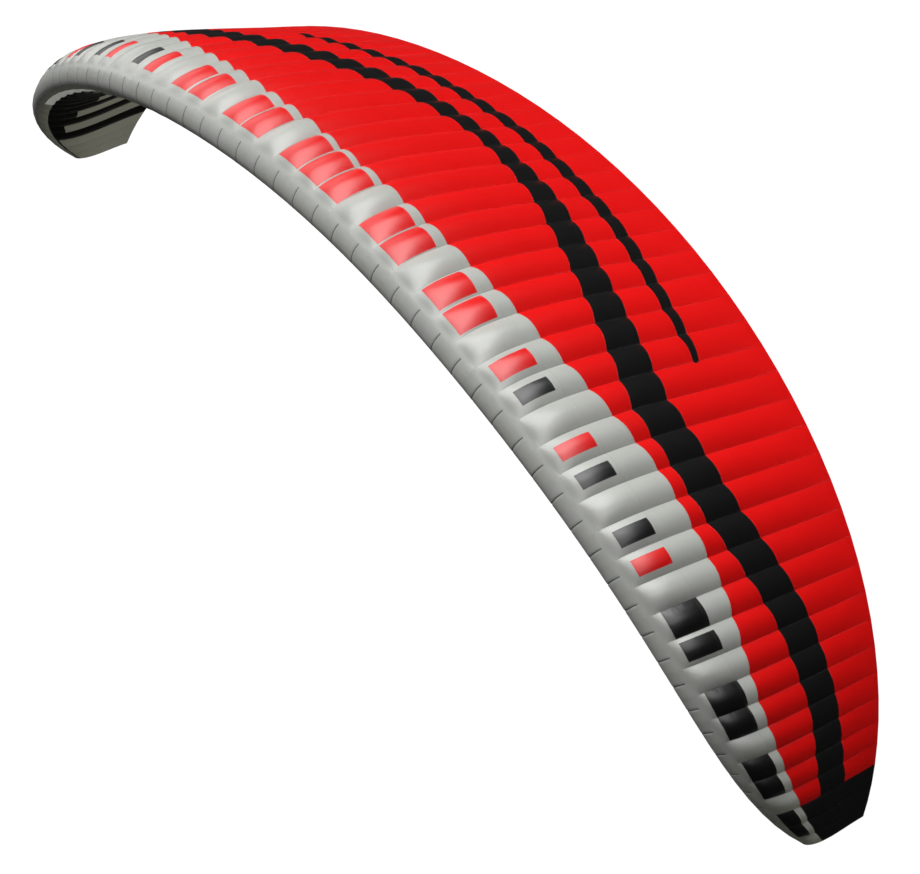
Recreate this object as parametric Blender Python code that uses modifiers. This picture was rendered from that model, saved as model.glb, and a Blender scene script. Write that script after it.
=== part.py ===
"""Paraglider wing, inflated and flying: a ram-air wing of 59 sewn cells in a deep arc.

World frame in metres: +X runs along the span to the pilot's left, -Y is the way the nose
faces, and +Z is up. The origin lies on the lower skin, in the middle cell, where the lines
would pull. Ribs and cells count from the pilot's right tip, at -X, to the left one.
"""
import bpy
import bmesh
import numpy as np
from mathutils import Vector

# ---------------------------------------------------------------- driving sizes (metres)
HALF_SPAN = 6.0            # along the arc, from the middle to one tip
CELLS = 59                 # odd, so the middle of the wing is the middle of a cell
OPEN_CELLS = 41            # middle cells that take air in; those outside are sewn shut
TIP_NARROWING = 0.226      # how much the cells narrow towards the tips
CLOTH = 0.0015             # thickness of a sheet
SEAM_GAP = 0.0011          # between two sheets that meet edge to edge
RIB_INSET = 0.0025         # from the outside of the skins to the edge of a rib
TIP_GAP = 0.0006           # between the ends of the skins and a tip rib
TAIL_HEIGHT = 0.005        # over both skins at the trailing edge
TAIL_LIFT = 0.0325         # washout: rise of the tail at the tip, in chords
NOSE_SEAM_TOP = 0.185      # upper seam of the leading edge, in chords behind the nose
NOSE_LIP = 0.033           # lower edge of the leading edge where the cells are open
NOSE_SEAM_BELOW = 0.07     # front edge of the lower skin, behind the cell openings
RIB_END = 0.964            # tail end of a rib
LINE_POINT = 0.30          # where the lines pull, in chords behind the nose
COLUMNS = 3                # strips across one cell

# The wing's outline and arc, from the middle to the tip:
# span fraction, bend of the arc (degrees), nose set back, tail behind the middle's nose
STATIONS = (
    (0.0, 0.0, 0.000, 2.543),
    (0.4, 18.1, 0.046, 2.412),
    (0.7, 38.8, 0.280, 2.180),
    (0.9, 61.0, 0.680, 1.912),
    (1.0, 79.2, 1.190, 1.752),
)

# Height of the section over its chord: factors of sqrt(t), t, t squared and t cubed
UPPER_SHAPE = (0.3945, -0.3702, -0.1380, 0.1137)
LOWER_SHAPE = (-0.2700, 0.1600, 0.3000, -0.1900)

# Rise of a cell between its ribs at the front of each skin, in cell widths
UPPER_BILLOW = 0.20
LOWER_BILLOW = 0.10
NOSE_SHARE = 0.02          # share of it that is left at the taut nose
TAUT_NOSE = 0.028          # chord fraction where the cells start to fill
FULL_CELL = 0.165          # chord fraction where they are full
TIP_SLACK = 0.30           # how much less the tip cells fill than the middle ones

# Chord fractions of the rows of each sheet. Rows under the nose are negative.
UPPER_ROWS = (NOSE_SEAM_TOP, 0.32, 0.47, 0.64, 0.82, 1.0)
LOWER_ROWS = (-1.0, -0.58, -LINE_POINT, -0.15, -NOSE_SEAM_BELOW)
NOSE_TOP_ROWS = (0.0, 0.006, 0.025, 0.065, 0.12, NOSE_SEAM_TOP)
NOSE_BELOW_SHARES = (1.0, 0.46, 0.11)      # shares of the way from the nose to its lower edge
RIB_TOP_ROWS = (0.0, 0.025, 0.12, NOSE_SEAM_TOP, 0.32, 0.47, 0.64, 0.82)
RIB_BELOW_ROWS = (-0.58, -LINE_POINT, -0.15, -NOSE_SEAM_BELOW)

# material name: colour, roughness
CLOTH_COLOURS = {
    "red_ripstop": ((0.72, 0.008, 0.010, 1.0), 0.42),
    "grey_ripstop": ((0.47, 0.48, 0.45, 1.0), 0.42),
    "black_ripstop": ((0.006, 0.006, 0.006, 1.0), 0.40),
    "white_ripstop": ((0.62, 0.62, 0.59, 1.0), 0.50),
}

FIRST_OPEN = (CELLS - OPEN_CELLS) // 2     # rib at the right end of the open cells
LAST_OPEN = FIRST_OPEN + OPEN_CELLS        # rib at their left end


# ---------------------------------------------------------------- the wing's outline
def through_stations(column, powers, u):
    """Smooth even or odd curve through one column of STATIONS."""
    table = np.array(STATIONS)
    fractions = table[1:, 0]
    rises = table[1:, column] - table[0, column]
    factors = np.linalg.solve(fractions[:, None] ** np.array(powers), rises)
    return table[0, column] + float(np.sum(factors * abs(u) ** np.array(powers)))


def bend(u):
    """Angle of the arc at span fraction u, in radians, positive towards +X."""
    return np.sign(u) * np.radians(through_stations(1, (1, 3, 5, 7), u))


def nose_y(u):
    return through_stations(2, (2, 4, 6, 8), u)


def chord(u):
    return through_stations(3, (2, 4, 6, 8), u) - nose_y(u)


def arc_table(steps=400):
    """Points of the arc of the span, as x and z against the span fraction."""
    fractions = np.linspace(0.0, 1.0, steps + 1)
    angles = np.array([bend(u) for u in (fractions[1:] + fractions[:-1]) / 2])
    step = HALF_SPAN / steps
    x = np.concatenate(([0.0], np.cumsum(np.cos(angles) * step)))
    z = np.concatenate(([0.0], np.cumsum(-np.sin(angles) * step)))
    return fractions, x, z


ARC_FRACTIONS, ARC_X, ARC_Z = arc_table()


def rib_fraction(rib):
    """Span fraction of a rib: -1 at rib 0 and +1 at rib CELLS, closer set at the tips."""
    place = 2.0 * rib / CELLS - 1.0
    return place * (1.0 + TIP_NARROWING - TIP_NARROWING * place ** 2)


def span_direction(rib):
    """Unit vector along the arc at a rib, square to the rib."""
    angle = bend(rib_fraction(rib))
    return np.array((np.cos(angle), 0.0, -np.sin(angle)))


# ---------------------------------------------------------------- the section
def section_height(row):
    """Height over the chord, in chords; row is a chord fraction, negative below."""
    t = abs(row)
    factors = UPPER_SHAPE if row >= 0.0 else LOWER_SHAPE
    terms = (np.sqrt(t), t, t ** 2, t ** 3)
    return sum(factor * term for factor, term in zip(factors, terms))


def rib_point(rib, row):
    """Outside of the cloth where it is sewn to a rib."""
    u = rib_fraction(rib)
    width = chord(u)
    t = abs(row)
    side = 1.0 if row >= 0.0 else -1.0
    height = width * (section_height(row) + TAIL_LIFT * u ** 2 * t) + side * TAIL_HEIGHT / 2 * t
    angle = bend(u)
    x = np.sign(u) * np.interp(abs(u), ARC_FRACTIONS, ARC_X)
    z = np.interp(abs(u), ARC_FRACTIONS, ARC_Z)
    return np.array((x + np.sin(angle) * height, nose_y(u) + width * t, z + np.cos(angle) * height))


def outward(rib, row):
    """Unit vector out of the cloth, square to the section and to the span."""
    place = np.sign(row) * np.sqrt(abs(row))
    near = 0.01
    ahead = min(place + near, 1.0)
    behind = max(place - near, -1.0)
    along_section = rib_point(rib, ahead * abs(ahead)) - rib_point(rib, behind * abs(behind))
    normal = np.cross(span_direction(rib), along_section)
    return normal / np.linalg.norm(normal)


def billow(cell, row):
    """Rise of the cell's middle over its ribs, in cell widths."""
    t = abs(row)
    most = UPPER_BILLOW if row >= 0.0 else LOWER_BILLOW
    most *= 1.0 - TIP_SLACK * rib_fraction(cell + 0.5) ** 2
    fill = (np.sqrt(t) - np.sqrt(TAUT_NOSE)) / (np.sqrt(FULL_CELL) - np.sqrt(TAUT_NOSE))
    fill = min(max(fill, 0.0), 1.0)
    fill *= 2.0 - fill
    return most * (NOSE_SHARE + (1.0 - NOSE_SHARE) * fill) * np.sqrt(1.0 - t)


def skin_point(cell, across, row):
    """Outside of a cell's cloth; across runs 0 to 1 from one rib to the next."""
    here = rib_point(cell, row)
    there = rib_point(cell + 1, row)
    width = np.linalg.norm(there - here)
    rise = billow(cell, row) * width * 4.0 * across * (1.0 - across)
    return here + (there - here) * across + outward(cell + 0.5, row) * rise


# The middle of the lower skin, which becomes the origin
ORIGIN = (skin_point(CELLS // 2, 1 / COLUMNS, -LINE_POINT)
          + skin_point(CELLS // 2, 1 - 1 / COLUMNS, -LINE_POINT)) / 2


# ---------------------------------------------------------------- the sheets
def strip_lines():
    """Lines from nose to tail that the skins run through, as cell and place across it."""
    lines = [(cell, column / COLUMNS) for cell in range(CELLS) for column in range(COLUMNS)]
    return lines + [(CELLS - 1, 1.0)]


def is_open(cell, across):
    return FIRST_OPEN < cell + across < LAST_OPEN


def nose_rows(cell, across):
    """Rows of the leading edge, from its lower edge up and over the nose."""
    width = chord(rib_fraction(cell + across))
    lower_edge = NOSE_LIP if is_open(cell, across) else NOSE_SEAM_BELOW - SEAM_GAP / width
    below = [-lower_edge * share for share in NOSE_BELOW_SHARES]
    return below + list(NOSE_TOP_ROWS[:-1]) + [NOSE_SEAM_TOP - SEAM_GAP / width]


def lower_rows(cell, across):
    """Rows of the lower skin, from the tail forward to just behind the leading edge."""
    width = chord(rib_fraction(cell + across))
    return list(LOWER_ROWS[:-1]) + [-NOSE_SEAM_BELOW - SEAM_GAP / 2 / width]


def upper_rows(cell, across):
    return list(UPPER_ROWS)


# ---------------------------------------------------------------- building
def make_material(name):
    colour, roughness = CLOTH_COLOURS[name]
    material = bpy.data.materials.new(name)
    material.use_nodes = True
    shader = material.node_tree.nodes["Principled BSDF"]
    shader.inputs["Base Color"].default_value = colour
    shader.inputs["Roughness"].default_value = roughness
    shader.inputs["Metallic"].default_value = 0.0
    material.diffuse_color = colour
    return material


def add_piece(name, shape, material, collection, offset):
    """Turn an open surface into a sheet of cloth with Solidify."""
    mesh = bpy.data.meshes.new(name)
    shape.to_mesh(mesh)
    shape.free()
    mesh.materials.append(material)
    piece = bpy.data.objects.new(name, mesh)
    collection.objects.link(piece)
    thickness = piece.modifiers.new("cloth", "SOLIDIFY")
    thickness.thickness = CLOTH
    thickness.offset = offset
    thickness.use_even_offset = True
    return piece


def make_skin(name, lines, rows_at, material, collection):
    """Sewn sheet over all the cells: an open loft from rib to rib, thickened inwards."""
    shape = bmesh.new()
    grid = []
    for cell, across in lines:
        points = [skin_point(cell, across, row) - ORIGIN for row in rows_at(cell, across)]
        grid.append([shape.verts.new(point) for point in points])
    for line, following in zip(grid, grid[1:]):
        for low in range(len(line) - 1):
            shape.faces.new((line[low], following[low], following[low + 1], line[low + 1]))
    return add_piece(name, shape, material, collection, -1.0)


def make_profile(name, rib, outline, facing, material, collection, offset):
    """Flat sheet in the plane of a rib, from its outline."""
    shape = bmesh.new()
    face = shape.faces.new([shape.verts.new(point - ORIGIN) for point in outline])
    face.normal_update()
    if face.normal.dot(Vector(facing)) < 0.0:
        face.normal_flip()
    return add_piece(name, shape, material, collection, offset)


def make_inner_rib(rib, material, collection):
    """Rib between two open cells, just inside the skins."""
    nose = [row for row in nose_rows(rib, 0.0) if -0.05 < row < 0.0]
    outline = [rib_point(rib, row) - outward(rib, row) * RIB_INSET for row in RIB_TOP_ROWS]
    for last_row in (UPPER_ROWS[-2], -0.58):
        tail_row = np.sign(last_row)
        share = (RIB_END - abs(last_row)) / (1.0 - abs(last_row))
        edge = rib_point(rib, last_row) * (1.0 - share) + rib_point(rib, tail_row) * share
        outline.append(edge - outward(rib, tail_row) * RIB_INSET)
    rows = list(RIB_BELOW_ROWS) + nose
    outline += [rib_point(rib, row) - outward(rib, row) * RIB_INSET for row in rows]
    name = "rib_%02d" % rib
    return make_profile(name, rib, outline, span_direction(rib), material, collection, 0.0)


def make_tip_rib(name, rib, material, collection):
    """Flat profile that closes a tip cell, just beyond the ends of the skins."""
    outwards = span_direction(rib) * (1.0 if rib else -1.0)
    below = [-NOSE_SEAM_BELOW * share for share in NOSE_BELOW_SHARES]
    rows = below + list(NOSE_TOP_ROWS) + list(UPPER_ROWS[1:]) + list(LOWER_ROWS[:-1])
    outline = [rib_point(rib, row) + outwards * TIP_GAP for row in rows]
    return make_profile(name, rib, outline, outwards, material, collection, 1.0)


def main():
    for existing in list(bpy.data.objects):
        bpy.data.objects.remove(existing, do_unlink=True)
    wing = bpy.data.collections.new("paraglider_wing")
    bpy.context.scene.collection.children.link(wing)
    red = make_material("red_ripstop")
    grey = make_material("grey_ripstop")
    black = make_material("black_ripstop")
    white = make_material("white_ripstop")

    make_skin("upper_skin", strip_lines(), upper_rows, red, wing)
    make_skin("leading_edge", strip_lines(), nose_rows, grey, wing)
    make_skin("lower_skin", strip_lines(), lower_rows, black, wing)
    for rib in range(FIRST_OPEN, LAST_OPEN + 1):
        make_inner_rib(rib, white, wing)
    make_tip_rib("tip_rib_right", 0, black, wing)
    make_tip_rib("tip_rib_left", CELLS, black, wing)


main()
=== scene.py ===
"""Paraglider wing in flight: its sewn cloth, colours and finish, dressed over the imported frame.

World frame in metres: +X runs along the span to the pilot's left, -Y is the way the nose faces,
and +Z is up. Ribs and cells count from the pilot's right tip, at -X, to the left one. A row is a
place along the section: a chord fraction behind the nose, negative under the wing.
"""

import bpy
import bmesh
import numpy as np
from mathutils import Matrix, Vector


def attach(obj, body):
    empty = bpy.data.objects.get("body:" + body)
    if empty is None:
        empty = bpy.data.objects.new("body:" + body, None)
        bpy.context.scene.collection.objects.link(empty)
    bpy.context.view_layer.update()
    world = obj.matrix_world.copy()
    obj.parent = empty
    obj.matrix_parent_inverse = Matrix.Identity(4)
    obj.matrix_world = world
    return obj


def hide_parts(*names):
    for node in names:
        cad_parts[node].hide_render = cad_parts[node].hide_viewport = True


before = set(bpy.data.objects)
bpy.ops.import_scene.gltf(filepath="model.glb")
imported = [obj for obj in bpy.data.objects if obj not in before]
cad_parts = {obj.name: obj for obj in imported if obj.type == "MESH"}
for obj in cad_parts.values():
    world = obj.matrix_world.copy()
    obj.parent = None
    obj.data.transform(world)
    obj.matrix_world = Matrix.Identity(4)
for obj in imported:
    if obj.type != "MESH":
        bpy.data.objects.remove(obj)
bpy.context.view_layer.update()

# ---------------------------------------------------------------- sizes of the wing (metres)
HALF_SPAN = 6.0            # along the arc, from the middle to one tip
CELLS = 59                 # odd, so the middle of the wing is the middle of a cell
FIRST_OPEN = 9             # rib at the right end of the open cells
LAST_OPEN = 50             # rib at their left end
TIP_NARROWING = 0.226      # how strongly the cells narrow towards the tips
TAIL_HEIGHT = 0.005        # over both skins at the trailing edge
TAIL_LIFT = 0.0325         # washout: rise of the tail at the tip, in chords
NOSE_SEAM_TOP = 0.185      # upper seam of the leading edge, in chords behind the nose
NOSE_LIP = 0.033           # lower edge of the leading edge over the intakes
NOSE_SEAM_BELOW = 0.07     # front hem of the lower skin
LAP_START = 0.0005         # the leading edge starts to dip this far before its upper seam, in chords
HEM_GAP = 0.0006           # from its lower edge to the lower skin in the closed cells, in chords
LINE_POINT = 0.30          # where the lines pull, in chords behind the nose
CELL_STRIPS = 3            # flat strips across a cell in the frame's solids
CLOTH = 0.0008             # thickness of a sheet
LAP = 0.008                # how far the leading edge runs under the upper skin at their seam
LAP_DEPTH = 1.5 * CLOTH    # and how deep it is tucked in there

# Rise of a cell between its ribs, in cell widths
UPPER_BILLOW = 0.20
LOWER_BILLOW = 0.10
TAUT_NOSE = 0.028          # chord fraction where the cells start to fill
FULL_CELL = 0.165          # chord fraction where they are full
TIP_SLACK = 0.30           # how much less the tip cells fill than the middle ones

# The crease that a dart leaves in the middle of each cell's nose
DART_FRONT = 0.030         # its end on the nose's underside, in chords
DART_END = 0.017           # its end on top, in chords
DART_FADE = 0.006          # it runs out over this at both ends, in chords
DART_SHARE = 0.03          # half its width, as a share of the cell's
DART_DEPTH = 0.004

# The ribs
RIB_INSET = 0.0025         # from the outside of the skins to the edge of a rib
RIB_END = 0.964            # tail end of a rib, in chords
TIP_SHIFT = 0.001          # from the end of the skins out to a tip rib
PORT_WIDTH = 0.8           # width of an air port over its height
PORT_SIDES = 20
# chord fraction of each port, and its share of the rib's height there
PORTS = ((0.10, 0.52), (0.22, 0.56), (0.36, 0.54), (0.50, 0.50), (0.64, 0.44))

# The wing's outline and arc, from the middle to the tip:
# span fraction, bend of the arc (degrees), nose set back, tail behind the middle's nose
STATIONS = (
    (0.0, 0.0, 0.000, 2.543),
    (0.4, 18.1, 0.046, 2.412),
    (0.7, 38.8, 0.280, 2.180),
    (0.9, 61.0, 0.680, 1.912),
    (1.0, 79.2, 1.190, 1.752),
)

# Height of the section over its chord: factors of sqrt(t), t, t squared and t cubed
UPPER_SHAPE = (0.3945, -0.3702, -0.1380, 0.1137)
LOWER_SHAPE = (-0.2700, 0.1600, 0.3000, -0.1900)

# Places across one cell where a sheet's lines run
SKIN_ACROSS = (0.0, 0.05, 0.14, 0.26, 0.38, 0.5, 0.62, 0.74, 0.86, 0.95)
NOSE_ACROSS = (0.0, 0.03, 0.09, 0.18, 0.28, 0.38, 0.46, 0.485, 0.5, 0.515, 0.54, 0.62, 0.72,
               0.82, 0.91, 0.97)


# ---------------------------------------------------------------- the wing's surface
def station_curve(column, powers):
    """Smooth curve through one column of STATIONS, as a function of the span fraction."""
    table = np.array(STATIONS)
    rises = table[1:, column] - table[0, column]
    factors = np.linalg.solve(table[1:, :1] ** np.array(powers), rises)

    def curve(u):
        return table[0, column] + (np.abs(u)[..., None] ** np.array(powers)) @ factors
    return curve


bend_degrees = station_curve(1, (1, 3, 5, 7))
nose_y = station_curve(2, (2, 4, 6, 8))
tail_y = station_curve(3, (2, 4, 6, 8))


def bend(u):
    """Angle of the arc at span fraction u, in radians, positive towards +X."""
    return np.sign(u) * np.radians(bend_degrees(u))


def chord_at(u):
    return tail_y(u) - nose_y(u)


def arc_table(steps=400):
    """Points of the arc of the span, as x and z against the span fraction."""
    fractions = np.linspace(0.0, 1.0, steps + 1)
    angles = bend((fractions[1:] + fractions[:-1]) / 2)
    step = HALF_SPAN / steps
    x = np.concatenate(([0.0], np.cumsum(np.cos(angles) * step)))
    z = np.concatenate(([0.0], np.cumsum(-np.sin(angles) * step)))
    return fractions, x, z


ARC_FRACTIONS, ARC_X, ARC_Z = arc_table()


def rib_fraction(rib):
    """Span fraction of a rib: -1 at rib 0 and +1 at rib CELLS, closer set at the tips."""
    place = 2.0 * rib / CELLS - 1.0
    return place * (1.0 + TIP_NARROWING - TIP_NARROWING * place ** 2)


def section_height(row):
    """Height over the chord, in chords."""
    t = np.abs(row)
    terms = np.stack((np.sqrt(t), t, t ** 2, t ** 3), axis=-1)
    return np.where(row >= 0.0, terms @ np.array(UPPER_SHAPE), terms @ np.array(LOWER_SHAPE))


def rib_point(rib, row):
    """Outside of the cloth over a rib."""
    u = rib_fraction(rib)
    chord = chord_at(u)
    t = np.abs(row)
    height = chord * (section_height(row) + TAIL_LIFT * u ** 2 * t)
    height = height + np.where(row >= 0.0, 0.5, -0.5) * TAIL_HEIGHT * t
    angle = bend(u)
    x = np.sign(u) * np.interp(np.abs(u), ARC_FRACTIONS, ARC_X)
    z = np.interp(np.abs(u), ARC_FRACTIONS, ARC_Z)
    return np.stack((x + np.sin(angle) * height, nose_y(u) + chord * t,
                     z + np.cos(angle) * height), axis=-1)


def span_direction(rib):
    """Unit vector along the arc at a rib, square to the rib."""
    angle = bend(rib_fraction(rib))
    return np.stack((np.cos(angle), np.zeros_like(angle), -np.sin(angle)), axis=-1)


def outward(rib, row):
    """Unit vector out of the cloth, square to the section and to the span."""
    near = 0.01            # to the neighbours on both sides, in square roots of the row
    place = np.sign(row) * np.sqrt(np.abs(row))
    ahead = np.minimum(place + near, 1.0)
    behind = np.maximum(place - near, -1.0)
    along = rib_point(rib, ahead * np.abs(ahead)) - rib_point(rib, behind * np.abs(behind))
    normal = np.cross(span_direction(rib), along)
    return normal / np.linalg.norm(normal, axis=-1, keepdims=True)


def billow(cell, row):
    """Rise of the cell's middle over its ribs, in cell widths."""
    t = np.abs(row)
    fill = (np.sqrt(t) - np.sqrt(TAUT_NOSE)) / (np.sqrt(FULL_CELL) - np.sqrt(TAUT_NOSE))
    fill = np.clip(fill, 0.0, 1.0)
    fill = fill * (2.0 - fill)
    most = np.where(row >= 0.0, UPPER_BILLOW, LOWER_BILLOW)
    most = most * (1.0 - TIP_SLACK * rib_fraction(cell + 0.5) ** 2)
    return most * fill * np.sqrt(1.0 - t)


def skin_point(place, row):
    """Outside of the cloth, and the cell's width there.

    A place counts cells from the right tip, with its fraction across the cell.
    """
    cell = np.clip(np.floor(place), 0, CELLS - 1)
    across = place - cell
    here = rib_point(cell, row)
    there = rib_point(cell + 1, row)
    width = np.linalg.norm(there - here, axis=-1)
    rise = billow(cell, row) * width * 4.0 * across * (1.0 - across)
    point = here + (there - here) * across[..., None] + outward(cell + 0.5, row) * rise[..., None]
    return point, width


def part_origin():
    """The origin of the frame: the middle of the middle strip of the lower skin's middle cell."""
    places = np.array((CELLS // 2 + 1 / CELL_STRIPS, CELLS // 2 + 1 - 1 / CELL_STRIPS))
    return skin_point(places, np.full(2, -LINE_POINT))[0].mean(axis=0)


ORIGIN = part_origin()


# ---------------------------------------------------------------- the colour scheme
RED = (0.82, 0.003, 0.003, 1.0)
GREY = (0.50, 0.51, 0.475, 1.0)
BLACK = (0.005, 0.005, 0.005, 1.0)
UNDER_BLACK = (0.007, 0.007, 0.007, 1.0)
WHITE = (0.62, 0.62, 0.59, 1.0)

# Edges and widths of the panels against the distance from the middle, as a span fraction. Both
# are chord fractions, and each edge runs straight in the cloth from rib to rib. The nose is grey
# up to the band's rear edge, and the ribbon and the stripe are black. A width below nothing ends
# the stripe.
BAND_REAR = ((0.0, 0.185), (0.2, 0.205), (0.38, 0.25), (0.55, 0.325), (0.68, 0.32), (0.8, 0.255),
             (1.0, 0.225))
RIBBON_REAR = ((0.0, 0.70), (0.14, 0.685), (0.30, 0.60), (0.46, 0.51), (0.60, 0.54), (0.74, 0.66),
               (0.84, 0.70), (1.0, 0.66))
RIBBON_WIDTH = ((0.0, 0.06), (0.2, 0.10), (0.45, 0.145), (0.7, 0.17), (0.85, 0.19), (1.0, 0.30))
STRIPE_REAR = ((0.0, 0.84), (0.2, 0.82), (0.4, 0.74), (0.52, 0.66), (1.0, 0.66))
STRIPE_WIDTH = ((0.0, 0.05), (0.30, 0.05), (0.42, 0.035), (0.47, -0.05), (1.0, -0.05))

TIP_CELLS = 27             # cells this far from the middle are black behind the band

# Grey bars of the underside, counted in cells from the middle: front and rear chord fractions
UNDER_BARS = {19: (0.42, 0.58), 21: (0.34, 0.68), 23: (0.26, 0.78), 25: (0.18, 0.88),
              27: (0.09, 1.01), 28: (0.09, 1.01), 29: (0.09, 1.01)}

# Insets of the nose band, counted in cells from the middle: colour, share of the cell's width
# (more than 1 fills it), front and rear chord fractions
INSET_COLOURS = ("red", "black")
INSETS = {
    0: ("red", 0.94, 0.045, 0.168), 1: ("red", 0.94, 0.045, 0.168),
    3: ("red", 0.94, 0.045, 0.168), 4: ("red", 0.94, 0.045, 0.168),
    6: ("red", 0.88, 0.047, 0.168), 7: ("red", 0.88, 0.047, 0.168),
    9: ("red", 0.62, 0.052, 0.170), 10: ("black", 0.50, 0.060, 0.165),
    12: ("red", 0.50, 0.058, 0.172), 13: ("black", 0.50, 0.060, 0.172),
    15: ("black", 0.56, 0.060, 0.180), 16: ("red", 0.56, 0.060, 0.180),
    18: ("black", 1.1, 0.060, 0.200), 19: ("black", 0.70, 0.060, 0.200),
    21: ("black", 1.1, 0.055, 0.200), 22: ("black", 1.1, 0.055, 0.195),
    24: ("black", 1.1, 0.050, 0.190), 25: ("black", 1.1, 0.050, 0.185),
    27: ("black", 1.1, 0.050, 0.175), 28: ("black", 1.1, 0.050, 0.170),
}


def edge_straight(table, place):
    """Chord fraction of an edge over the cloth, straight from each rib to the next."""
    ribs = np.arange(CELLS + 1.0)
    u, edge = np.array(table).T
    return np.interp(place, ribs, np.interp(np.abs(rib_fraction(ribs)), u, edge))


def inside_stripe(rear_table, width_table, place, row, chord):
    """How far inside a stripe along the span a point of the cloth is, in metres."""
    rear = edge_straight(rear_table, place)
    return np.minimum(rear - row, row - rear + edge_straight(width_table, place)) * chord


def panel_distances(place, cell, row, width, chord):
    """How far inside each colour a point of the cloth is, in metres, and each inset's colour.

    1.0 stands for well inside and -1.0 for well outside.
    """
    from_middle = np.abs(cell - CELLS // 2)
    band = (edge_straight(BAND_REAR, place) - row) * chord
    ribbon = inside_stripe(RIBBON_REAR, RIBBON_WIDTH, place, row, chord)
    stripe = inside_stripe(STRIPE_REAR, STRIPE_WIDTH, place, row, chord)
    black = np.where(from_middle >= TIP_CELLS, 1.0, np.maximum(ribbon, stripe))
    bar = np.full_like(row, -1.0)
    for number, (front, rear) in UNDER_BARS.items():
        inside = np.minimum(-row - front, rear + row) * chord
        bar = np.where(from_middle == number, inside, bar)

    across = place - cell
    side, length, colour_index = (np.full_like(row, -1.0) for _ in range(3))
    for number, (colour, share, front, rear) in INSETS.items():
        here = from_middle == number
        side = np.where(here, (share / 2 - np.abs(across - 0.5)) * width, side)
        length = np.where(here, np.minimum(row - front, rear - row) * chord, length)
        colour_index = np.where(here, INSET_COLOURS.index(colour), colour_index)
    return {"band": band, "ribbon": black, "under_bar": bar, "inset_side": side,
            "inset_length": length, "inset_colour": colour_index}


# ---------------------------------------------------------------- making the sheets
def sheet_area(mesh):
    shape = bmesh.new()
    shape.from_mesh(mesh)
    area = sum(face.calc_area() for face in shape.faces)
    shape.free()
    return area


def finish_sheet(mesh, name, materials, node, offset):
    """Give a sheet its thickness and its finish; a second material is its inner side's.

    The offset is -1 for a sheet that lies within its surface and 0 for one on both sides of it.
    """
    area = sheet_area(mesh)
    piece = bpy.data.objects.new(name, mesh)
    bpy.context.scene.collection.objects.link(piece)
    for material in materials:
        mesh.materials.append(material)
    cloth = piece.modifiers.new("cloth", "SOLIDIFY")
    cloth.material_offset = len(materials) - 1
    cloth.thickness = CLOTH
    cloth.offset = offset
    cloth.use_even_offset = True
    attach(piece, "root")
    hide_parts(node)
    return piece


def flat_grid(name, lines, rows):
    """A flat grid of quads, and the line and the row of each of its points."""
    grid = bmesh.new()
    bmesh.ops.create_grid(grid, x_segments=lines - 1, y_segments=rows - 1, size=0.5)
    mesh = bpy.data.meshes.new(name)
    grid.to_mesh(mesh)
    grid.free()
    flat = np.empty(len(mesh.vertices) * 3)
    mesh.vertices.foreach_get("co", flat)
    flat = flat.reshape(-1, 3) + 0.5
    line = np.rint(flat[:, 0] * (lines - 1)).astype(int)
    step = np.rint(flat[:, 1] * (rows - 1)).astype(int)
    return mesh, line, step


def lengths_along(lines, rows):
    """Distance of each point of a grid from its line's first row, in metres."""
    places = np.repeat(lines[:, None], rows.shape[1], 1)
    steps = np.linalg.norm(np.diff(skin_point(places, rows)[0], axis=1), axis=-1)
    return np.concatenate((np.zeros((len(lines), 1)), np.cumsum(steps, axis=1)), axis=1)


def write_facts(mesh, place, row, width, along):
    """Store on the corners of the faces what the finish needs to know."""
    corners = np.empty(len(mesh.loops), dtype=np.int32)
    mesh.loops.foreach_get("vertex_index", corners)
    cell = np.repeat(np.floor(place[corners].reshape(-1, 4).mean(axis=1)), 4)
    place, row, width, along = (values[corners] for values in (place, row, width, along))
    chord = chord_at(rib_fraction(place))
    from_axis = (place - cell - 0.5) * width

    cloth_map = mesh.uv_layers.new(name="cloth")
    cloth_map.data.foreach_set("uv", np.stack((cell * 0.5 + from_axis, along), -1).ravel())
    facts = {"beside_rib": width / 2 - np.abs(from_axis), "cell": cell, "half_width": width / 2,
             "row": row, "chord": chord}
    facts.update(panel_distances(place, cell, row, width, chord))
    for key, values in facts.items():
        layer = mesh.attributes.new(key, "FLOAT", "CORNER")
        layer.data.foreach_set("value", values.astype(np.float32))


def mark_sharp(mesh, place, step, last_step):
    """Smooth cloth, but sharp at the seams over the ribs and at the sheet's borders."""
    mesh.polygons.foreach_set("use_smooth", np.ones(len(mesh.polygons), dtype=bool))
    mesh.update()
    ends = np.empty(len(mesh.edges) * 2, dtype=np.int32)
    mesh.edges.foreach_get("vertices", ends)
    sharp = np.isclose(place, np.rint(place))[ends].reshape(-1, 2).all(axis=1)
    for border in (0, last_step):
        sharp = sharp | (step[ends] == border).reshape(-1, 2).all(axis=1)
    layer = mesh.attributes.new("sharp_edge", "BOOLEAN", "EDGE")
    layer.data.foreach_set("value", sharp)


def sewn_skin(name, across_places, rows_at, dents=None):
    """One large sheet over all the cells, from a grid that is laid on the wing's surface."""
    lines = [cell + across for cell in range(CELLS) for across in across_places]
    lines = np.array(lines + [CELLS])
    rows = rows_at(lines)
    mesh, line, step = flat_grid(name, *rows.shape)
    place, row = lines[line], rows[line, step]
    points, width = skin_point(place, row)
    if dents is not None:
        points = points - outward(place, row) * dents(place, row)[:, None]
    mesh.vertices.foreach_set("co", (points - ORIGIN).ravel())
    write_facts(mesh, place, row, width, lengths_along(lines, rows)[line, step])
    mark_sharp(mesh, place, step, rows.shape[1] - 1)
    return mesh


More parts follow.
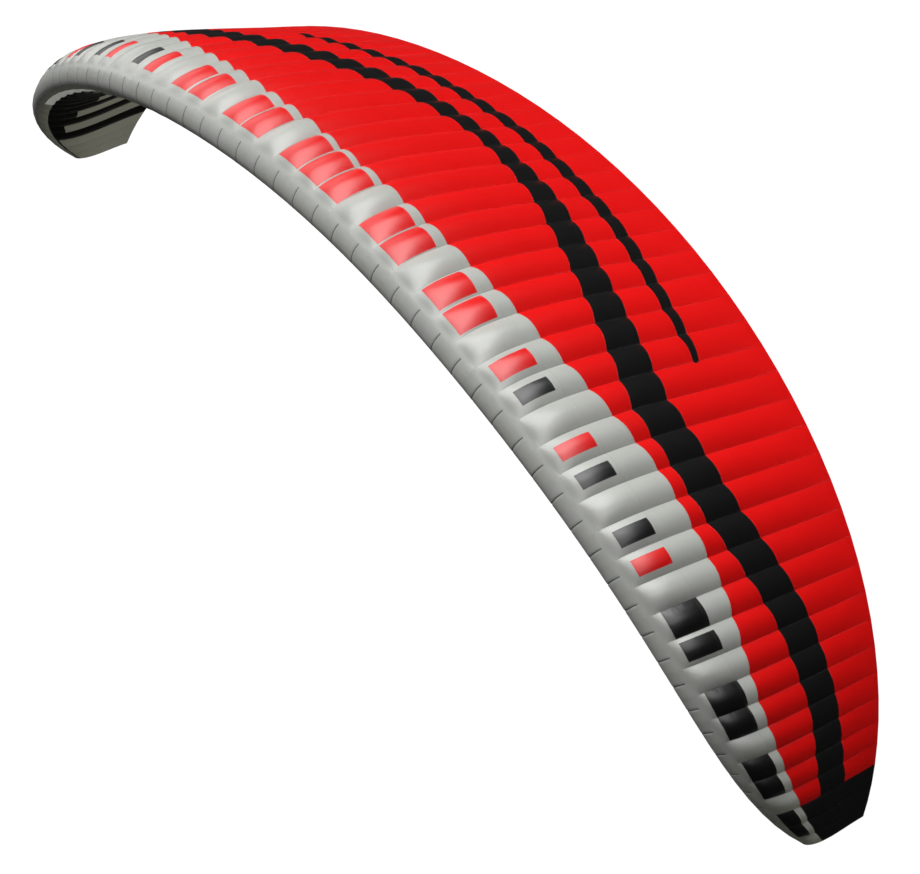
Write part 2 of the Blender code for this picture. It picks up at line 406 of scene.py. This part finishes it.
def rows_between(*stops):
    """Chord fractions of a sheet's rows: pairs of a fraction and the steps up to the next."""
    rows = []
    for (start, steps), (end, _) in zip(stops, stops[1:]):
        signed = np.linspace(np.sign(start) * np.sqrt(abs(start)), np.sign(end) * np.sqrt(abs(end)),
                             steps, endpoint=False)
        rows.extend(np.sign(signed) * signed ** 2)
    return np.array(rows + [stops[-1][0]])


def same_rows(rows, lines):
    """The same rows on every line."""
    return np.repeat(rows[None, :], len(lines), axis=0)


def upper_rows(lines):
    return same_rows(rows_between((NOSE_SEAM_TOP, 24), (0.6, 18), (1.0, 0)), lines)


def lower_rows(lines):
    return same_rows(rows_between((-1.0, 14), (-0.3, 12), (-NOSE_SEAM_BELOW, 0)), lines)


def nose_rows(lines):
    """Rows of the leading edge, from its lower edge over the nose to the lap at its upper seam."""
    is_open = (lines > FIRST_OPEN) & (lines < LAST_OPEN)
    lower_edge = np.where(is_open, NOSE_LIP, NOSE_SEAM_BELOW - HEM_GAP)
    shares = np.linspace(-1.0, 0.0, 8, endpoint=False)
    under = shares * np.abs(shares) * lower_edge[:, None]
    over = same_rows(rows_between((0.0, 24), (NOSE_SEAM_TOP - LAP_START, 0)), lines)
    lap = NOSE_SEAM_TOP + LAP / chord_at(rib_fraction(lines))
    return np.concatenate((under, over, lap[:, None]), axis=1)


def nose_dents(place, row):
    """Depth of the dart's crease at the nose of each cell, and of the lap under the seam."""
    across = place - np.floor(place)
    deep = np.clip(1.0 - np.abs(across - 0.5) / DART_SHARE, 0.0, 1.0)
    length = np.clip(np.minimum(row + DART_FRONT, DART_END - row) / DART_FADE, 0.0, 1.0)
    tucked = np.where(row > NOSE_SEAM_TOP, LAP_DEPTH, 0.0)
    return DART_DEPTH * deep * length + tucked


def rib_profile(rib, inset, shift, rear):
    """Points of a rib's edge, from the nose over the top to the tail and back under it."""
    # closest together round the nose, where the edge bends most
    top = np.concatenate((np.linspace(0.0, np.sqrt(0.6), 26) ** 2, np.linspace(0.65, rear, 9)))
    below = -np.concatenate((np.linspace(rear, 0.6, 9), np.linspace(np.sqrt(0.55), 0.06, 24) ** 2))
    rows = np.concatenate((top, below))
    ribs = np.full_like(rows, float(rib))
    return rib_point(ribs, rows) - outward(ribs, rows) * inset - ORIGIN + span_direction(ribs) * shift


def port_outline(rib, place, size):
    """Points round an air port, halfway between the two skins."""
    ends = rib_point(np.full(2, float(rib)), np.array((place, -place))) - ORIGIN
    tall = (ends[0] - ends[1]) / 2 * size
    wide = np.array((0.0, 1.0, 0.0)) * np.linalg.norm(tall) * PORT_WIDTH
    turns = np.linspace(0.0, 2 * np.pi, PORT_SIDES, endpoint=False)[:, None]
    return ends.mean(axis=0) + tall * np.sin(turns) + wide * np.cos(turns)


def rib_sheet(name, node, rib, material, inset=0.0, shift=0.0, rear=1.0, ports=()):
    """A flat profile with its air ports, filled from its outlines."""
    outline = rib_profile(rib, inset, shift, rear)
    shape = bmesh.new()
    edges = []
    for points in [outline] + [port_outline(rib, *port) for port in ports]:
        loop = [shape.verts.new(point) for point in points]
        edges += [shape.edges.new((a, b)) for a, b in zip(loop, loop[1:] + loop[:1])]
    bmesh.ops.triangle_fill(shape, use_beauty=True, use_dissolve=False, edges=edges)
    bmesh.ops.recalc_face_normals(shape, faces=shape.faces[:])
    mesh = bpy.data.meshes.new(name)
    shape.to_mesh(mesh)
    shape.free()
    size = outline.max(axis=0) - outline.min(axis=0)
    return finish_sheet(mesh, name, [material], node, 0.0)


# ---------------------------------------------------------------- materials
RIPSTOP_PITCH = 0.005      # between the thicker threads that stop a tear
THREAD_FADE = (0.36, 0.47)           # from midway between two: where a thread begins and is full
STITCH_STEP = 0.004        # from one stitch to the next
STITCH_SHARE = 0.7         # of which this much is thread
STITCH_FADE = (0.0006, 0.0012)       # where a row of stitches fades, from its middle
DART_SHADE_WIDTH = (0.003, 0.006)          # where the painted shade in a dart's crease fades, from its middle
RIB_SEAM = 0.004           # from a rib to its row of stitches; the painted shade in the seam's crease ends there
PANEL_SEAM = 0.003         # from the edge of a colour panel to its row of stitches

# From the edges of the hems and of the lap to their rows of stitches
TAIL_HEM = 0.006
LIP_HEM = 0.006
UNDER_HEM = (0.006, 0.010)
LAP_SEAM = (0.002, 0.006)

# Brightness of the cloth, and how far it varies
SKIN_SHADE = 0.94
RIB_SHADE = 0.95
PANEL_VARIES = 0.06        # from one cell's panel to another's
CLOUD_VARIES = 0.10        # slowly over the cloth
CLOUD_SCALE = 3.0
RIB_CLOUD_SCALE = 6.0

# How much darker than the cloth these are
THREAD_SHADE = 0.05
STITCH_SHADE = 0.15
# painted shade in the crease of each rib's seam
CREASE_PAINTED_SHADE = 0.15
CREASE_SHADE_START = (0.03, 0.06)            # chord fractions where the painted shade at the ribs' seams sets in
# painted shade along the crease of each nose dart
DART_PAINTED_SHADE = 0.62

# Roughness of the cloth, and how far it varies
SKIN_ROUGH = 0.27
SKIN_ROUGH_VARIES = 0.06
SKIN_ROUGH_SCALE = 7.0
THREAD_ROUGH = 0.05
RIB_ROUGH = 0.5
RIB_ROUGH_VARIES = 0.1

# Heights in the finish
THREAD_RISE = 0.00008
PUCKER_RISE = 0.003        # of the pull beside a rib's seam
PUCKER_REACH = 0.07        # how far from the rib it runs out
PUCKER_SCALE = (5.0, 22.0, 1.0)      # drawn out across the seam
SLACK_RISE = 0.0015        # of the slow waves all over the cloth
SLACK_SCALE = 4.0
STITCH_SINK = 0.0004
PANEL_RISE = 0.0003        # of the overlap where two panels meet
PANEL_LAP = (0.004, 0.006)           # half the overlap's width, and where its step ends

UPPER_GLOSS = 1.0
UNDER_GLOSS = 0.25
RIB_GLOSS = 0.4
INNER_PAINTED_GLOW = 0.30          # painted light: an emission in place of the daylight that comes through the skin to its inner side
RIB_PAINTED_GLOW = 0.20            # and the same painted emission on the ribs


class Value:
    """A number over the surface, with the operators that add its Math nodes."""

    def __init__(self, finish, socket):
        self.finish, self.socket = finish, socket

    def maths(self, operation, *others):
        node = self.finish.nodes.new("ShaderNodeMath")
        node.operation = operation
        for index, value in enumerate((self,) + others):
            if isinstance(value, Value):
                self.finish.links.new(value.socket, node.inputs[index])
            else:
                node.inputs[index].default_value = value
        return Value(self.finish, node.outputs[0])

    def __add__(self, other):
        return self.maths("ADD", other)

    __radd__ = __add__

    def __mul__(self, other):
        return self.maths("MULTIPLY", other)

    __rmul__ = __mul__

    def __sub__(self, other):
        return self.maths("SUBTRACT", other)

    def __rsub__(self, other):
        return (self * -1.0) + other

    def __truediv__(self, other):
        return self.maths("DIVIDE", other)

    def __gt__(self, other):
        return self.maths("GREATER_THAN", other)

    def __lt__(self, other):
        return self.maths("LESS_THAN", other)

    def fraction(self):
        return self.maths("FRACT")

    def size(self):
        return self.maths("ABSOLUTE")

    def least(self, other):
        return self.maths("MINIMUM", other)

    def most(self, *others):
        value = self
        for other in others:
            value = value.maths("MAXIMUM", other)
        return value

    def ramp(self, start, end):
        """0 before start, 1 after end, smooth between."""
        node = self.finish.node("ShaderNodeMapRange", {"interpolation_type": "SMOOTHSTEP"},
                                {"Value": self, "From Min": start, "From Max": end})
        return Value(self.finish, node.outputs["Result"])


class Finish:
    """A material whose nodes are made one call at a time."""

    def __init__(self, name, **constants):
        self.material = bpy.data.materials.new(name)
        self.material.use_nodes = True
        tree = self.material.node_tree
        self.nodes, self.links = tree.nodes, tree.links
        self.shader = self.nodes["Principled BSDF"]
        for key, value in constants.items():
            self.shader.inputs[key.replace("_", " ")].default_value = value

    def node(self, kind, settings=None, inputs=None):
        """Any node, with its settings and its inputs: a Value is linked, all else is set."""
        node = self.nodes.new(kind)
        for key, value in (settings or {}).items():
            setattr(node, key, value)
        for key, value in (inputs or {}).items():
            if isinstance(value, Value):
                self.links.new(value.socket, node.inputs[key])
            else:
                node.inputs[key].default_value = value
        return node

    def attribute(self, name):
        return Value(self, self.node("ShaderNodeAttribute", {"attribute_name": name}).outputs["Fac"])

    def parts(self, vector):
        """The three numbers of a vector."""
        return [Value(self, output)
                for output in self.node("ShaderNodeSeparateXYZ", inputs={0: vector}).outputs]

    def mix(self, factor, first, second):
        node = self.node("ShaderNodeMix", {"data_type": "RGBA"}, {0: factor, 6: first, 7: second})
        return Value(self, node.outputs[2])

    def shaded(self, colour, shade):
        """A colour times a number."""
        node = self.node("ShaderNodeVectorMath", {"operation": "SCALE"},
                         {0: colour, "Scale": shade})
        return Value(self, node.outputs[0])

    def noise(self, vector, scale, detail=2.0):
        node = self.node("ShaderNodeTexNoise", inputs={"Vector": vector, "Scale": scale,
                                                       "Detail": detail, "Roughness": 0.5})
        return Value(self, node.outputs["Fac"])

    def feed(self, socket, value):
        self.links.new(value.socket, self.shader.inputs[socket])

    def bump(self, height):
        node = self.node("ShaderNodeBump", inputs={"Height": height, "Distance": 1.0})
        self.feed("Normal", Value(self, node.outputs["Normal"]))


def ripstop(across, along):
    """Where the thicker threads run, 0 to 1."""
    threads = [((value / RIPSTOP_PITCH).fraction() - 0.5).size().ramp(*THREAD_FADE)
               for value in (across, along)]
    return threads[0].most(threads[1])


def stitches(run, gap):
    """A row of stitches along run, where gap is near nothing: 0 to 1."""
    near = 1.0 - gap.size().ramp(*STITCH_FADE)
    return near * ((run / STITCH_STEP).fraction() < STITCH_SHARE)


def under_panels(finish, across, row, chord):
    """Colours of the underside, distance from their edges, and its rows of stitches."""
    bar = finish.attribute("under_bar")
    colour = finish.mix(bar > 0.0, UNDER_BLACK, GREY)
    hem = (row + NOSE_SEAM_BELOW) * chord
    rows = [stitches(across, hem + inset) for inset in UNDER_HEM]
    rows.append(stitches(across, bar - PANEL_SEAM))
    return colour, bar, rows


def top_panels(finish, across, along, row, chord, cell):
    """The same for the upper skin and the leading edge."""
    band = finish.attribute("band")
    ribbon = finish.attribute("ribbon")
    side = finish.attribute("inset_side")
    length = finish.attribute("inset_length")
    inset = side.least(length)
    inset_colour = finish.mix(finish.attribute("inset_colour") > 0.5, RED, BLACK)
    in_band = band > 0.0
    colour = finish.mix(in_band, RED, GREY)
    colour = finish.mix(inset > 0.0, colour, inset_colour)
    colour = finish.mix((ribbon > 0.0) * (1.0 - in_band), colour, BLACK)

    edges = band.size().least(ribbon.size())
    rows = [stitches(across, edges - PANEL_SEAM),
            stitches(along, side - PANEL_SEAM) * (length > 0.0),
            stitches(across, length - PANEL_SEAM) * (side > 0.0)]
    lap = (row - NOSE_SEAM_TOP) * chord
    rows += [stitches(across, lap - inset) for inset in LAP_SEAM]
    lip = stitches(across, (row + NOSE_LIP) * chord - LIP_HEM)
    rows.append(lip * (cell > FIRST_OPEN - 0.5) * (cell < LAST_OPEN - 0.5))
    return colour, edges.least(inset.size()), rows


def skin_finish(name, under=False):
    """Coated ripstop in colour panels, with its seams, stitches, darts and puckers."""
    finish = Finish(name, Specular_IOR_Level=UNDER_GLOSS if under else UPPER_GLOSS)
    vector = Value(finish, finish.node("ShaderNodeUVMap", {"uv_map": "cloth"}).outputs["UV"])
    across, along, _ = finish.parts(vector)
    beside_rib = finish.attribute("beside_rib")
    cell = finish.attribute("cell")
    row = finish.attribute("row")
    chord = finish.attribute("chord")
    if under:
        colour, joins, rows = under_panels(finish, across, row, chord)
    else:
        colour, joins, rows = top_panels(finish, across, along, row, chord, cell)
    sewing = stitches(along, beside_rib - RIB_SEAM)
    sewing = sewing.most(stitches(across, (1.0 - row.size()) * chord - TAIL_HEM), *rows)

    # each panel comes from its own stretch of the roll
    random = finish.node("ShaderNodeTexWhiteNoise", {"noise_dimensions": "1D"}, {"W": cell})
    panel = Value(finish, random.outputs["Value"])
    cloudy = finish.noise(vector, CLOUD_SCALE, detail=3.0)
    threads = ripstop(across, along)
    shade = SKIN_SHADE + PANEL_VARIES * panel + CLOUD_VARIES * (cloudy - 0.5)
    shade = shade - THREAD_SHADE * threads - STITCH_SHADE * sewing
    if not under:
        # painted shade along the crease of the dart in each cell's nose
        beside_dart = finish.attribute("half_width") - beside_rib
        shade = shade - DART_PAINTED_SHADE * (1.0 - beside_dart.ramp(*DART_SHADE_WIDTH)) * (row.size() < DART_END)
    # painted shade in the crease where the cloth folds into a rib's seam; none at the nose
    crease_shade = (1.0 - beside_rib.ramp(0.0, RIB_SEAM)) * row.size().ramp(*CREASE_SHADE_START)
    finish.feed("Base Color", finish.shaded(colour, shade - CREASE_PAINTED_SHADE * crease_shade))
    patchy = finish.noise(vector, SKIN_ROUGH_SCALE)
    finish.feed("Roughness", SKIN_ROUGH + SKIN_ROUGH_VARIES * patchy + THREAD_ROUGH * threads)

    stretched = finish.node("ShaderNodeMapping", inputs={"Vector": vector, "Scale": PUCKER_SCALE})
    puckers = finish.noise(Value(finish, stretched.outputs[0]), 1.0)
    height = THREAD_RISE * threads - STITCH_SINK * sewing
    height = height + PUCKER_RISE * (puckers - 0.5) * (1.0 - beside_rib.ramp(0.0, PUCKER_REACH))
    height = height + SLACK_RISE * (finish.noise(vector, SLACK_SCALE) - 0.5)
    height = height + PANEL_RISE * (1.0 - joins.size().ramp(*PANEL_LAP))
    finish.bump(height)
    return finish.material


def rib_finish(name, base, painted_glow=0.0):
    """Plain ripstop; its emission is painted light in place of the daylight that comes through the
    skin.
    """
    finish = Finish(name, Specular_IOR_Level=RIB_GLOSS, Emission_Color=WHITE,
                    Emission_Strength=painted_glow)
    place = Value(finish, finish.node("ShaderNodeTexCoord").outputs["Object"])
    _, along, up = finish.parts(place)
    threads = ripstop(along, up)
    cloudy = finish.noise(place, RIB_CLOUD_SCALE)
    shade = RIB_SHADE + CLOUD_VARIES * (cloudy - 0.5) - THREAD_SHADE * threads
    finish.feed("Base Color", finish.shaded(base[:3], shade))
    finish.feed("Roughness", RIB_ROUGH + RIB_ROUGH_VARIES * cloudy)
    finish.bump(THREAD_RISE * threads)
    return finish.material


# ---------------------------------------------------------------- the wing
def make_wing():
    top = skin_finish("banded_ripstop")
    inside = rib_finish("inner_side_ripstop", WHITE, INNER_PAINTED_GLOW)
    under = skin_finish("underside_ripstop", under=True)
    white = rib_finish("rib_ripstop", WHITE, RIB_PAINTED_GLOW)
    black = rib_finish("tip_ripstop", BLACK)
    upper_cloth = sewn_skin("upper_cloth", SKIN_ACROSS, upper_rows)
    finish_sheet(upper_cloth, "upper_cloth", [top, inside], "upper_skin",
                 -1.0)
    nose_cloth = sewn_skin("nose_cloth", NOSE_ACROSS, nose_rows, nose_dents)
    finish_sheet(nose_cloth, "nose_cloth", [top, inside], "leading_edge",
                 -1.0)
    lower_cloth = sewn_skin("lower_cloth", SKIN_ACROSS, lower_rows)
    finish_sheet(lower_cloth, "lower_cloth", [under], "lower_skin",
                 -1.0)
    for rib in range(FIRST_OPEN, LAST_OPEN + 1):
        rib_sheet("rib_cloth_%02d" % rib, "rib_%02d" % rib, rib, white,
                  inset=RIB_INSET, rear=RIB_END, ports=PORTS)
    rib_sheet("tip_cloth_right", "tip_rib_right", 0, black, shift=-TIP_SHIFT)
    rib_sheet("tip_cloth_left", "tip_rib_left", CELLS, black, shift=TIP_SHIFT)


# ---------------------------------------------------------------- the stage
FLOOR_HEIGHT = -5.2        # well below the flying wing
FLOOR_RADIUS = 60.0
BACKDROP = 0.98            # brightness of the world as the camera sees it
AMBIENT = 0.015            # and of the light that it casts

# name, direction it comes from, how wide it is (degrees), strength, tint, and whether the
# cloth's matt colour and its gloss show it
LIGHTS = (
    ("soft_light", (-0.26, -0.22, 0.94), 60.0, 2.60, (1.0, 1.0, 1.0), True, True),
    ("rear_fill", (-0.02, 0.80, 0.60), 60.0, 1.45, (1.0, 1.0, 1.0), True, False),
    ("front_fill", (-0.42, -0.74, 0.53), 40.0, 0.92, (1.0, 1.0, 1.0), True, False),
    ("low_fill", (0.50, 0.56, -0.66), 44.0, 0.92, (1.0, 0.98, 0.80), True, False),
    ("front_sheen", (0.40, -0.30, 0.86), 50.0, 1.00, (1.0, 1.0, 1.0), False, True),
    ("side_sheen", (-0.96, 0.02, 0.26), 44.0, 0.55, (1.0, 1.0, 1.0), False, True),
)

CAMERA_LENS = 103.55       # millimetres, on a sensor this wide
CAMERA_SENSOR = 36.0
CAMERA_PLACE = (2.1581, -1.6118, 1.6495)   # in half spans from the middle of the arc
CAMERA_RIGHT = (0.590317, 0.797088, 0.127187)
CAMERA_UP = (-0.537458, 0.270593, 0.798698)
CAMERA_AHEAD = (-0.602217, 0.539843, -0.588137)


def floor_paint():
    """Pale paint; from beneath it is clear, so that the floor doesn't hide the wing."""
    paint = Finish("floor_paint", Base_Color=(0.12, 0.12, 0.12, 1.0), Roughness=0.9,
                   Emission_Color=(1.0, 1.0, 1.0, 1.0), Emission_Strength=0.9)
    side = paint.node("ShaderNodeNewGeometry")
    clear = paint.node("ShaderNodeBsdfTransparent")
    either = paint.node("ShaderNodeMixShader")
    paint.links.new(side.outputs["Backfacing"], either.inputs[0])
    paint.links.new(paint.shader.outputs[0], either.inputs[1])
    paint.links.new(clear.outputs[0], either.inputs[2])
    paint.links.new(either.outputs[0], paint.nodes["Material Output"].inputs["Surface"])
    return paint.material


def make_floor():
    shape = bmesh.new()
    bmesh.ops.create_circle(shape, cap_ends=True, segments=96, radius=FLOOR_RADIUS,
                            matrix=Matrix.Translation((0.0, 0.0, FLOOR_HEIGHT)))
    mesh = bpy.data.meshes.new("floor")
    shape.to_mesh(mesh)
    shape.free()
    mesh.materials.append(floor_paint())
    piece = bpy.data.objects.new("floor", mesh)
    bpy.context.scene.collection.objects.link(piece)
    piece.visible_diffuse = False
    piece.visible_glossy = False
    piece.visible_shadow = False


def make_backdrop():
    """A white world that casts little light of its own."""
    world = bpy.data.worlds.new("studio")
    bpy.context.scene.world = world
    world.use_nodes = True
    nodes, links = world.node_tree.nodes, world.node_tree.links
    background = nodes["Background"]
    background.inputs["Color"].default_value = (1.0, 1.0, 1.0, 1.0)
    path = nodes.new("ShaderNodeLightPath")
    strength = nodes.new("ShaderNodeMapRange")
    strength.inputs["To Min"].default_value = AMBIENT
    strength.inputs["To Max"].default_value = BACKDROP
    links.new(path.outputs["Is Camera Ray"], strength.inputs["Value"])
    links.new(strength.outputs["Result"], background.inputs["Strength"])


def make_lights():
    for name, source, wide, strength, tint, matt, glossy in LIGHTS:
        lamp = bpy.data.lights.new(name, "SUN")
        lamp.angle = np.radians(wide)
        lamp.energy = strength
        lamp.color = tint
        # left on, this would show part of a light in the gloss that it is hidden from
        lamp.cycles.use_multiple_importance_sampling = glossy
        light = bpy.data.objects.new(name, lamp)
        bpy.context.scene.collection.objects.link(light)
        light.rotation_euler = Vector(source).to_track_quat("Z", "Y").to_euler()
        light.visible_diffuse = matt
        light.visible_glossy = glossy


def make_camera():
    lens = bpy.data.cameras.new("camera")
    lens.lens = CAMERA_LENS
    lens.sensor_width = CAMERA_SENSOR
    lens.sensor_fit = "HORIZONTAL"
    lens.clip_end = 500.0
    camera = bpy.data.objects.new("camera", lens)
    bpy.context.scene.collection.objects.link(camera)
    axes = Matrix((CAMERA_RIGHT, CAMERA_UP, -Vector(CAMERA_AHEAD)))
    place = Vector(CAMERA_PLACE) * HALF_SPAN - Vector(ORIGIN)
    camera.matrix_world = Matrix.Translation(place) @ axes.transposed().to_4x4()
    bpy.context.scene.camera = camera
    bpy.context.scene.view_settings.view_transform = "Standard"


make_camera()
make_floor()
make_backdrop()
make_lights()
make_wing()
